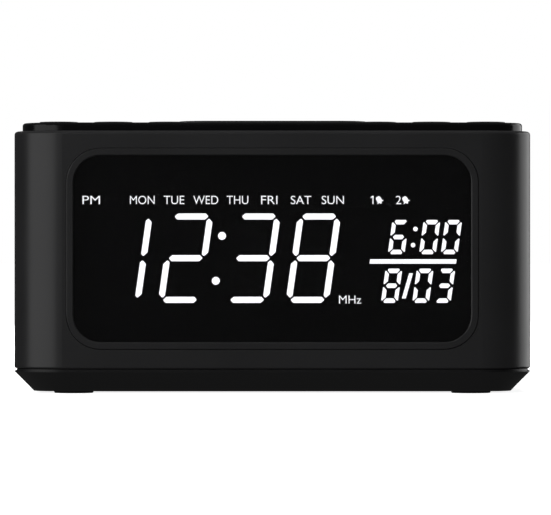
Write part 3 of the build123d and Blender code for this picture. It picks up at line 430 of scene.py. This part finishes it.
def makeLit(name="segment_lit", strength=lit["strength"]):
    # an even white glow with a faint fall-off between the chips behind the diffuser
    material, nodes, links, shader, place = newMaterial(name)
    cloud = addNoise(nodes, links, place, lit["spread"], 1.0)
    low, high = strength * (1 - lit["edgeFall"]), strength
    links.new(addRange(nodes, links, cloud.outputs["Fac"], low, high), shader.inputs["Emission Strength"])
    shader.inputs["Emission Color"].default_value = (*lit["colour"], 1)
    shader.inputs["Base Color"].default_value = (0.9, 0.9, 0.9, 1)
    shader.inputs["Roughness"].default_value = 0.6
    return material


def makeBoard():
    # solder mask over copper tracks: the tracks show as slightly lighter, raised lines
    material, nodes, links, shader, place = newMaterial("board_green")
    tracks = nodes.new("ShaderNodeTexBrick")
    tracks.inputs["Scale"].default_value = 1 / (solderMask["trackPitch"] * 4 * mm)
    tracks.inputs["Mortar Size"].default_value = 0.035
    tracks.inputs["Mortar Smooth"].default_value = 0.2
    tracks.inputs["Color1"].default_value = (0, 0, 0, 1)
    tracks.inputs["Color2"].default_value = (0, 0, 0, 1)
    tracks.inputs["Mortar"].default_value = (1, 1, 1, 1)
    links.new(place.outputs["Object"], tracks.inputs["Vector"])
    mix = nodes.new("ShaderNodeMix")
    mix.data_type = "RGBA"
    mix.inputs["A"].default_value = (*solderMask["dark"], 1)
    mix.inputs["B"].default_value = (*solderMask["light"], 1)
    links.new(tracks.outputs["Fac"], mix.inputs["Factor"])
    links.new(mix.outputs["Result"], shader.inputs["Base Color"])
    shader.inputs["Roughness"].default_value = solderMask["rough"]
    addBump(nodes, links, shader, tracks.outputs["Fac"], 0.03)
    return material


def finishFor(slotName):
    if slotName in made:
        return made[slotName]
    if slotName in plastics:
        return makePlastic(slotName)
    if slotName in metals:
        return makeMetal(slotName)
    if slotName in woven:
        return makeWoven(slotName)
    return {"lens_smoke": makeSmoked, "segment_lit": makeLit, "board_green": makeBoard}[slotName]()


nodeSlots = {row["node"]: row["material_slot"] for row in frame["record"]["subparts"]}
for old in list(bpy.data.materials):
    old.name = "packed_" + old.name
# the base cover takes the darker base_black instead of its own slot: painted shade
for nodeName, cadNode in frame["nodes"].items():
    cadNode.data.materials.clear()
    cadNode.data.materials.append(finishFor("base_black" if nodeName == "base_cover" else nodeSlots[nodeName]))
print("materials on every CAD node:", len(made))


# button caps

plateThick, flangeGap = 2.2 * mm, 0.05 * mm
capShape = {"lip": 0.7 * mm, "edge": 0.09 * mm, "dish": 0.20 * mm,
            "dishSteps": ((0.45 * mm, 0.6), (0.60 * mm, 0.4)), "roof": 1.4 * mm,
            "flange": 0.75 * mm, "flangeReach": 0.9 * mm, "skirtWall": 1.3 * mm,
            "stemRadius": 2.0 * mm, "sides": 96}
buttonNames = ["power", "alarm_one", "alarm_two", "mode", "volume_down", "volume_up"]


def flangeTop():
    # the keys are held by flanges just under the top plate
    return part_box("top_plate")[1].z - plateThick - flangeGap


def makeButton(name):
    low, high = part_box(name + "_button")
    centre = (low + high) / 2
    flangeHigh = flangeTop()
    flangeLow = flangeHigh - capShape["flange"]
    flangeRadius = (high.x - low.x) / 2
    cap = startDisc((centre.x, centre.y, (flangeLow + flangeHigh) / 2), flangeRadius, capShape["flange"],
                    capShape["sides"])
    # the visible drum, standing on its flange
    selectFaces(cap, lambda f: f.normal.z > 0.9)
    insetBy(capShape["flangeReach"])
    pushOut(z=high.z - flangeHigh)
    bpy.ops.object.mode_set(mode="OBJECT")
    # the thumb dish inside a narrow lip
    crown = topFace(cap)
    selectFaces(cap, lambda f: f.normal.z > 0.9 and f.center.z > crown - 1e-7)
    insetBy(capShape["lip"])
    for width, share in capShape["dishSteps"]:
        insetBy(width, -capShape["dish"] * share)
    # hollow underside with the stem that meets the switch
    selectFaces(cap, lambda f: f.normal.z < -0.9)
    insetBy(capShape["flangeReach"] + capShape["skirtWall"])
    pushOut(z=high.z - capShape["roof"] - flangeLow)
    insetBy(flangeRadius - capShape["flangeReach"] - capShape["skirtWall"] - capShape["stemRadius"])
    pushOut(z=low.z - (high.z - capShape["roof"]))
    roundRim(cap, high.z, capShape["edge"], 2)
    return finishPiece(cap, name + "_cap", "key_black", name + "_key", [name + "_button"])


for buttonName in buttonNames:
    makeButton(buttonName)
print("button caps:", len(buttonNames))


# printed marks on the caps

markShape = {"thick": 0.03 * mm, "stroke": 0.42 * mm, "ring": 1.75 * mm, "bell": 3.0 * mm, "digit": 2.4 * mm}
markSink = 0.005 * mm  # how far a printed mark sits into its surface
markPaint = dict(colour=(0.50, 0.50, 0.50), rough=0.55, specular=0.35, grain=0.20, depth=0.004, mottle=0.05)
plastics["mark_paint"] = markPaint


def drawOne(height, stroke, thick):
    # a figure one: stem, and a flag that leans down to the left
    stem = drawBar(height * 0.10, 0, stroke, height, thick)
    flag = drawBar(0, 0, height * 0.34, stroke * 0.9, thick)
    flag.rotation_euler = (0, 0, math.radians(38))
    flag.location = (-height * 0.05, height * 0.36, 0)
    pickUp(flag)
    bpy.ops.object.transform_apply(location=True, rotation=True, scale=True)
    return joinUp([stem, flag])


def drawPower():
    ring = drawArc(markShape["ring"], markShape["stroke"], markShape["thick"], -90, 290)
    bar = drawBar(0, markShape["ring"] * 0.75, markShape["stroke"], markShape["ring"] * 1.1, markShape["thick"])
    return joinUp([ring, bar])


def drawAlarm(number):
    bell = drawBell(markShape["bell"] * 0.9, markShape["bell"], markShape["thick"])
    if number == "1":
        digit = drawOne(markShape["digit"], markShape["stroke"], markShape["thick"])
    else:
        digit = drawWord(number, markShape["digit"] * 0.62, markShape["digit"], markShape["thick"])
    bell.location.x -= 1.2 * mm
    digit.location.x += 1.7 * mm
    for piece in (bell, digit):
        pickUp(piece)
        bpy.ops.object.transform_apply(location=True, rotation=True, scale=True)
    return joinUp([bell, digit])


def drawWaves():
    # a broadcast mark: a dot with two arcs on each side
    dot = startDisc((0, 0, markShape["thick"] / 2), 0.5 * mm, markShape["thick"], 24)
    arcs = [drawArc(radius * mm, markShape["stroke"], markShape["thick"], middle, 80, 14)
            for radius in (1.35, 2.35) for middle in (0, 180)]
    return joinUp([dot, *arcs])


def drawMinus():
    return drawBar(0, 0, 3.4 * mm, markShape["stroke"] * 1.2, markShape["thick"])


def drawPlus():
    across = drawBar(0, 0, 3.4 * mm, markShape["stroke"] * 1.2, markShape["thick"])
    upper = drawBar(0, 1.0 * mm, markShape["stroke"] * 1.2, 1.4 * mm, markShape["thick"])
    lower = drawBar(0, -1.0 * mm, markShape["stroke"] * 1.2, 1.4 * mm, markShape["thick"])
    return joinUp([across, upper, lower])


capMarks = {
    "power": drawPower,
    "alarm_one": lambda: drawAlarm("1"),
    "alarm_two": lambda: drawAlarm("2"),
    "mode": drawWaves,
    "volume_down": drawMinus,
    "volume_up": drawPlus,
}
for capName, drawMark in capMarks.items():
    low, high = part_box(capName + "_button")
    mark = layOut(drawMark(), "up", ((low.x + high.x) / 2, (low.y + high.y) / 2,
                                     high.z - capShape["dish"] - markSink))
    finishPiece(mark, capName + "_mark", "tongue_white", capName + "_key", finish=finishFor("mark_paint"))
print("marks on the caps:", len(capMarks))


# snooze bar

snooze = {"flange": 0.75 * mm, "reach": 1.5 * mm, "shell": 1.6 * mm, "edge": 0.22 * mm, "dish": 0.30 * mm,
          "corner": 11.5 * mm, "ribHeight": 0.22 * mm, "ribWidth": 0.9 * mm, "ribLength": 9.0 * mm,
          "ribPitch": 2.6 * mm, "postX": 22 * mm, "postRadius": 1.9 * mm, "postLow": 77.5 * mm,
          "stemRadius": 2.5 * mm, "word": (15.0 * mm, 2.3 * mm), "lip": 1.4 * mm,
          "dishSteps": ((0.8 * mm, 0.30), (1.0 * mm, 0.45), (1.6 * mm, 0.25)), "ribX": 19 * mm,
          "ribRoot": 0.1 * mm, "ribEdge": 0.12 * mm, "overlap": 0.2 * mm}


def makeSnooze():
    low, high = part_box("snooze_bar")
    middle = (low + high) / 2
    flangeHigh = flangeTop()
    flangeLow = flangeHigh - snooze["flange"]
    ceiling = high.z - snooze["dish"] - snooze["shell"]
    bar = startBlock((low.x, low.y, flangeLow), (high.x, high.y, flangeHigh))
    roundUprights(bar, snooze["corner"], 14)
    bpy.ops.object.mode_set(mode="OBJECT")
    # the visible slab, with a softened edge and a long shallow dish
    selectFaces(bar, lambda f: f.normal.z > 0.9)
    insetBy(snooze["reach"])
    pushOut(z=high.z - flangeHigh)
    bpy.ops.object.mode_set(mode="OBJECT")
    selectFaces(bar, lambda f: f.normal.z > 0.9 and f.center.z > high.z - 1e-6)
    insetBy(snooze["lip"])
    for width, share in snooze["dishSteps"]:
        insetBy(width, -snooze["dish"] * share)
    bpy.ops.object.mode_set(mode="OBJECT")
    selectFaces(bar, lambda f: f.normal.z < -0.9)
    insetBy(snooze["reach"] + snooze["shell"])
    pushOut(z=ceiling - flangeLow)
    bpy.ops.object.mode_set(mode="OBJECT")
    roundRim(bar, high.z, snooze["edge"], 4)
    bpy.ops.object.mode_set(mode="OBJECT")
    legMiddle = (snooze["postLow"] + ceiling) / 2
    legLong = ceiling - snooze["postLow"] + snooze["overlap"]
    legs = [startDisc((x, middle.y, legMiddle), snooze["postRadius"], legLong, 40)
            for x in (-snooze["postX"], snooze["postX"])]
    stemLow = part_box("snooze_plunger")[1].z
    legs.append(startDisc((0, middle.y, (stemLow + ceiling) / 2), snooze["stemRadius"],
                          ceiling - stemLow + snooze["overlap"], 40))
    # raised finger ribs at both ends of the dish
    ribs = []
    dishFloor = high.z - snooze["dish"]
    for side in (-1, 1):
        for row in (-1, 0, 1):
            x, y = middle.x + side * snooze["ribX"], middle.y + row * snooze["ribPitch"]
            halfLong, halfWide = snooze["ribLength"] / 2, snooze["ribWidth"] / 2
            ribTop = dishFloor + snooze["ribHeight"]
            rib = startBlock((x - halfLong, y - halfWide, dishFloor - snooze["ribRoot"]),
                             (x + halfLong, y + halfWide, ribTop))
            roundUprights(rib, snooze["ribWidth"] * 0.45, 4)
            bpy.ops.object.mode_set(mode="OBJECT")
            roundRim(rib, ribTop, snooze["ribEdge"], 3)
            bpy.ops.object.mode_set(mode="OBJECT")
            ribs.append(rib)
    whole = joinUp([bar, *legs, *ribs])
    finishPiece(whole, "snooze_cap", "key_black", "snooze_key", ["snooze_bar"])
    word = layOut(drawWord("SNOOZE", *snooze["word"], markShape["thick"]), "up",
                  (middle.x, middle.y, dishFloor - markSink))
    finishPiece(word, "snooze_mark", "tongue_white", "snooze_key", finish=finishFor("mark_paint"))


makeSnooze()
print("snooze bar with its legs and ribs")


# coil springs under the snooze bar

spring = {"radius": 2.6 * mm, "wire": 0.25 * mm, "turns": 7, "steps": 36, "travel": 1.0 * mm}


def makeSprings():
    low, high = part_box("snooze_springs")
    rise = high.z - low.z - 2 * spring["wire"]
    bpy.ops.object.select_all(action="DESELECT")
    bpy.ops.mesh.primitive_circle_add(vertices=12, radius=spring["wire"], fill_type="NGON",
                                      location=(spring["radius"], 0, 0), rotation=(math.radians(90), 0, 0))
    coil = bpy.context.object
    bpy.ops.object.transform_apply(location=True, rotation=True, scale=True)
    screw = coil.modifiers.new("coil", "SCREW")
    screw.axis = "Z"
    screw.angle = math.radians(360)
    screw.iterations = spring["turns"]
    screw.screw_offset = rise / spring["turns"]
    screw.steps = screw.render_steps = spring["steps"]
    screw.use_merge_vertices = False
    bpy.ops.object.modifier_apply(modifier="coil")
    bpy.ops.object.mode_set(mode="EDIT")
    bpy.ops.mesh.select_all(action="SELECT")
    bpy.ops.mesh.fill_holes(sides=16)
    bpy.ops.object.mode_set(mode="OBJECT")
    turnOutwards(coil)
    middleY = (low.y + high.y) / 2
    coil.location = (-snooze["postX"], middleY, low.z + spring["wire"])
    bpy.ops.object.transform_apply(location=True, rotation=True, scale=True)
    twin = copyPiece(coil, (2 * snooze["postX"], 0, 0))
    pair = finishPiece(joinUp([coil, twin]), "snooze_coils", "spring_steel", replaced=["snooze_springs"])
    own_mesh(pair)


makeSprings()
print("snooze springs wound")


# rubber feet

foot = {"radius": 6.65 * mm, "groove": 0.28 * mm, "wall": 0.05 * mm, "edge": 0.25 * mm,
        "rings": (1.2, 0.5, 1.0, 0.5)}


def makeFeet():
    low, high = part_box("rubber_feet")
    radius = foot["radius"]
    spots = [(x, y) for x in (low.x + radius, high.x - radius) for y in (low.y + radius, high.y - radius)]
    pad = startDisc((*spots[0], (low.z + high.z) / 2), radius, high.z - low.z, 64)
    roundRim(pad, low.z, foot["edge"], 3)
    bpy.ops.object.mode_set(mode="OBJECT")
    selectFaces(pad, lambda f: f.normal.z < -0.9 and f.center.z < low.z + 1e-6)
    for width, way in zip(foot["rings"], (-1, 1, -1, 1)):  # into a groove, and out again
        insetBy(width * mm)
        insetBy(foot["wall"], way * foot["groove"])
    bpy.ops.object.mode_set(mode="OBJECT")
    pads = [pad] + [copyPiece(pad, (x - spots[0][0], y - spots[0][1], 0)) for x, y in spots[1:]]
    finishPiece(joinUp(pads), "foot_pads", "foot_rubber", replaced=["rubber_feet"])


makeFeet()
print("feet moulded")


# printed symbols beside the sockets and the aerial

rearMarks = {"thick": 0.03 * mm, "stroke": 0.35 * mm, "above": 7.2 * mm,
             "socketZ": 23 * mm, "aerialDrop": 0.9 * mm}


def drawDirectCurrent():
    thick, stroke = rearMarks["thick"], rearMarks["stroke"]
    bars = [drawBar(0, 0.45 * mm, 3.4 * mm, stroke, thick)]
    bars += [drawBar(x * mm, -0.45 * mm, 0.85 * mm, stroke, thick) for x in (-1.28, 0, 1.28)]
    return joinUp(bars)


def drawBattery():
    thick, stroke = rearMarks["thick"], rearMarks["stroke"]
    bars = [drawBar(0, y * mm, 3.0 * mm, stroke, thick) for y in (-0.75, 0.75)]
    bars += [drawBar(x * mm, 0, stroke, 1.8 * mm, thick) for x in (-1.4, 1.4)]
    bars += [drawBar(-0.75 * mm, 0, 0.7 * mm, 0.85 * mm, thick), drawBar(1.8 * mm, 0, stroke, 0.7 * mm, thick)]
    return joinUp(bars)


def drawPlugTip():
    thick, stroke = rearMarks["thick"], rearMarks["stroke"]
    ring = drawArc(1.15 * mm, stroke, thick, 90, 359.9, 40)
    return joinUp([ring, startDisc((0, 0, thick / 2), 0.42 * mm, thick, 24)])


def drawAerial():
    thick, stroke = rearMarks["thick"], rearMarks["stroke"]
    mast = drawBar(0, -0.4 * mm, stroke, 2.6 * mm, thick)
    arms = []
    for lean in (-45, 45):
        arm = drawBar(0, 0.75 * mm, stroke, 1.6 * mm, thick)
        arm.rotation_euler = (0, 0, math.radians(lean))
        pickUp(arm)
        bpy.ops.object.transform_apply(location=True, rotation=True, scale=True)
        arms.append(arm)
    return joinUp([mast, *arms])


def printRear():
    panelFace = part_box("rear_panel")[1].y
    spots = (("dc_jack", drawDirectCurrent, 0.0), ("usb_shell", drawBattery, 0.0),
             ("aux_jack", drawPlugTip, 0.0),
             ("antenna_gland", drawAerial, -rearMarks["aerialDrop"]))
    for node, draw, lower in spots:
        low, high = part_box(node)
        middle = (low + high) / 2
        height = rearMarks["socketZ"] if node != "antenna_gland" else middle.z
        place = (middle.x, panelFace + markSink, height + rearMarks["above"] + lower)
        mark = layOut(draw(), "back", place)
        finishPiece(mark, node + "_symbol", "tongue_white", finish=finishFor("mark_paint"))


printRear()
print("symbols printed on the rear panel")


# legends of the display, lying on the front of the film

legend = {"height": 2.8 * mm, "z": 65.16 * mm, "thick": 0.04 * mm, "gap": 0.01 * mm, "stroke": 0.36 * mm,
          "weight": -0.004, "pm": (-60.85 * mm, 5.9 * mm), "one": 33.55 * mm, "two": (42.4 * mm, 1.8 * mm),
          "bells": (35.9 * mm, 44.75 * mm), "mhz": (26.15 * mm, 7.5 * mm, 31.7 * mm, 2.7 * mm)}
dayNames = {"MON": 8.29, "TUE": 6.88, "WED": 8.36, "THU": 7.25, "FRI": 5.50, "SAT": 6.88, "SUN": 7.45}
firstDayX, dayPitch = -43.7 * mm, 10.67 * mm
bellIcon = {"width": 2.60 * mm, "height": 2.8 * mm, "turn": 31}


def makeLegends():
    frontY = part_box("display_film")[0].y - legend["gap"]
    words = []

    def place(piece, x, z, turn=0.0):
        words.append(layOut(piece, "front", (x, frontY, z), turn))

    def write(text, x, width, z=legend["z"], height=legend["height"]):
        place(drawWord(text, width, height, legend["thick"], legend["weight"]), x, z)

    write("PM", *legend["pm"])
    for index, (day, width) in enumerate(dayNames.items()):
        write(day, firstDayX + index * dayPitch, width * mm)
    place(drawOne(legend["height"], legend["stroke"], legend["thick"]), legend["one"], legend["z"])
    write("2", *legend["two"])
    for x in legend["bells"]:
        bell = drawBell(bellIcon["width"], bellIcon["height"], legend["thick"], knob=False)
        place(bell, x, legend["z"], bellIcon["turn"])
    write("MHz", *legend["mhz"])
    glow = makeLit("legend_lit", lit["legend"])
    finishPiece(joinUp(words), "display_legends", "segment_lit", finish=glow)


makeLegends()
print("legends set on the film")


# camera, lights, floor and backdrop

camera = dict(distance=1500 * mm, height=45.83 * mm, side=1.07 * mm, lens=292.0, sensor=36.0)
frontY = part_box("display_bezel")[0].y + 0.3 * mm
bpy.ops.object.camera_add(location=(camera["side"], frontY - camera["distance"], camera["height"]),
                          rotation=(math.radians(90), 0, 0))
cameraObject = bpy.context.object
cameraObject.data.lens = camera["lens"]
cameraObject.data.sensor_width = camera["sensor"]
cameraObject.data.clip_start = 0.05
bpy.context.scene.camera = cameraObject
bpy.context.scene.view_settings.view_transform = "Standard"
bpy.context.scene.view_settings.look = "None"

aim = Vector((0, 0, 46 * mm))
lamps = {
    "leftBox": dict(place=(-1.00, -0.74, 0.20), size=(1.66, 1.0), power=6.0, shine=True),
    "frontTop": dict(place=(-0.45, -1.12, 0.62), size=(1.2, 0.5), power=13.5, shine=False),
    "topBox": dict(place=(0.0, 0.05, 1.20), size=(1.1, 0.9), power=8.0, shine=False),
    "rightBack": dict(place=(0.90, 0.60, 0.20), size=(1.05, 0.8), power=4.0, shine=True),
    "rearBox": dict(place=(-0.40, 1.25, 0.60), size=(1.0, 0.5), power=18.0, shine=False),
}
for lampName, lamp in lamps.items():
    place = Vector(lamp["place"])
    bpy.ops.object.light_add(type="AREA", location=place)
    light = bpy.context.object
    light.name = lampName
    light.rotation_euler = (aim - place).to_track_quat("-Z", "Y").to_euler()
    light.data.shape = "RECTANGLE"
    light.data.size, light.data.size_y = lamp["size"]
    light.data.energy = lamp["power"]
    light.visible_camera = False
    light.visible_glossy = lamp["shine"]  # the others lift the dark faces without a shine

# the floor glows at full strength far off and dimmer within near to far of the object's middle: a painted shade
# round the object
floorGlowPaintedShade = {"near": 0.15, "far": 0.55, "low": 0.88}
bpy.ops.mesh.primitive_plane_add(size=60, location=(0, 0, 0))
floor = bpy.context.object
floor.name = "studioFloor"
floorMaterial = bpy.data.materials.new("studioFloor")
floorMaterial.use_nodes = True
floorShader = floorMaterial.node_tree.nodes["Principled BSDF"]
floorShader.inputs["Base Color"].default_value = (0.55, 0.55, 0.55, 1)
floorShader.inputs["Roughness"].default_value = 0.9
floorShader.inputs["Specular IOR Level"].default_value = 0.0
floorShader.inputs["Emission Color"].default_value = (1, 1, 1, 1)
reach = floorMaterial.node_tree.nodes.new("ShaderNodeVectorMath")
reach.operation = "LENGTH"
glow = floorMaterial.node_tree.nodes.new("ShaderNodeMapRange")
glow.inputs["From Min"].default_value = floorGlowPaintedShade["near"]
glow.inputs["From Max"].default_value = floorGlowPaintedShade["far"]
glow.inputs["To Min"].default_value = floorGlowPaintedShade["low"]
glow.inputs["To Max"].default_value = 1.0
floorPlace = floorMaterial.node_tree.nodes.new("ShaderNodeTexCoord")
floorLinks = floorMaterial.node_tree.links
floorLinks.new(floorPlace.outputs["Object"], reach.inputs[0])
floorLinks.new(reach.outputs["Value"], glow.inputs["Value"])
floorLinks.new(glow.outputs["Result"], floorShader.inputs["Emission Strength"])
floor.data.materials.append(floorMaterial)
floor.visible_diffuse = False
floor.visible_glossy = False
floor.visible_transmission = False

world = bpy.data.worlds.new("studio")
bpy.context.scene.world = world
world.use_nodes = True
sky, skyLinks = world.node_tree.nodes, world.node_tree.links
backdrop = sky["Background"]
backdrop.inputs["Color"].default_value = (1, 1, 1, 1)
backdrop.inputs["Strength"].default_value = 1.0
fill = sky.new("ShaderNodeBackground")
direction = sky.new("ShaderNodeTexCoord")
split = sky.new("ShaderNodeSeparateXYZ")
heightCurve = sky.new("ShaderNodeValToRGB")  # straight down, horizon, overhead
ramp = heightCurve.color_ramp
skyTones = ((0.0, 0.15), (0.42, 0.042), (0.55, 0.042), (1.0, 0.14))
while len(ramp.elements) < len(skyTones):
    ramp.elements.new(0.5)
for element, (position, tone) in zip(ramp.elements, skyTones):
    element.position = position
    element.color = (tone, tone, tone, 1)
halve = sky.new("ShaderNodeMapRange")
halve.inputs["From Min"].default_value = -1.0
halve.inputs["From Max"].default_value = 1.0
seen = sky.new("ShaderNodeLightPath")
blendWorld = sky.new("ShaderNodeMixShader")
skyLinks.new(direction.outputs["Generated"], split.inputs["Vector"])
skyLinks.new(split.outputs["Z"], halve.inputs["Value"])
skyLinks.new(halve.outputs["Result"], heightCurve.inputs["Fac"])
skyLinks.new(heightCurve.outputs["Color"], fill.inputs["Color"])
skyLinks.new(seen.outputs["Is Camera Ray"], blendWorld.inputs["Fac"])
skyLinks.new(fill.outputs["Background"], blendWorld.inputs[1])
skyLinks.new(backdrop.outputs["Background"], blendWorld.inputs[2])
skyLinks.new(blendWorld.outputs["Shader"], sky["World Output"].inputs["Surface"])
print("camera, lights and floor placed")

bpy.context.view_layer.update()
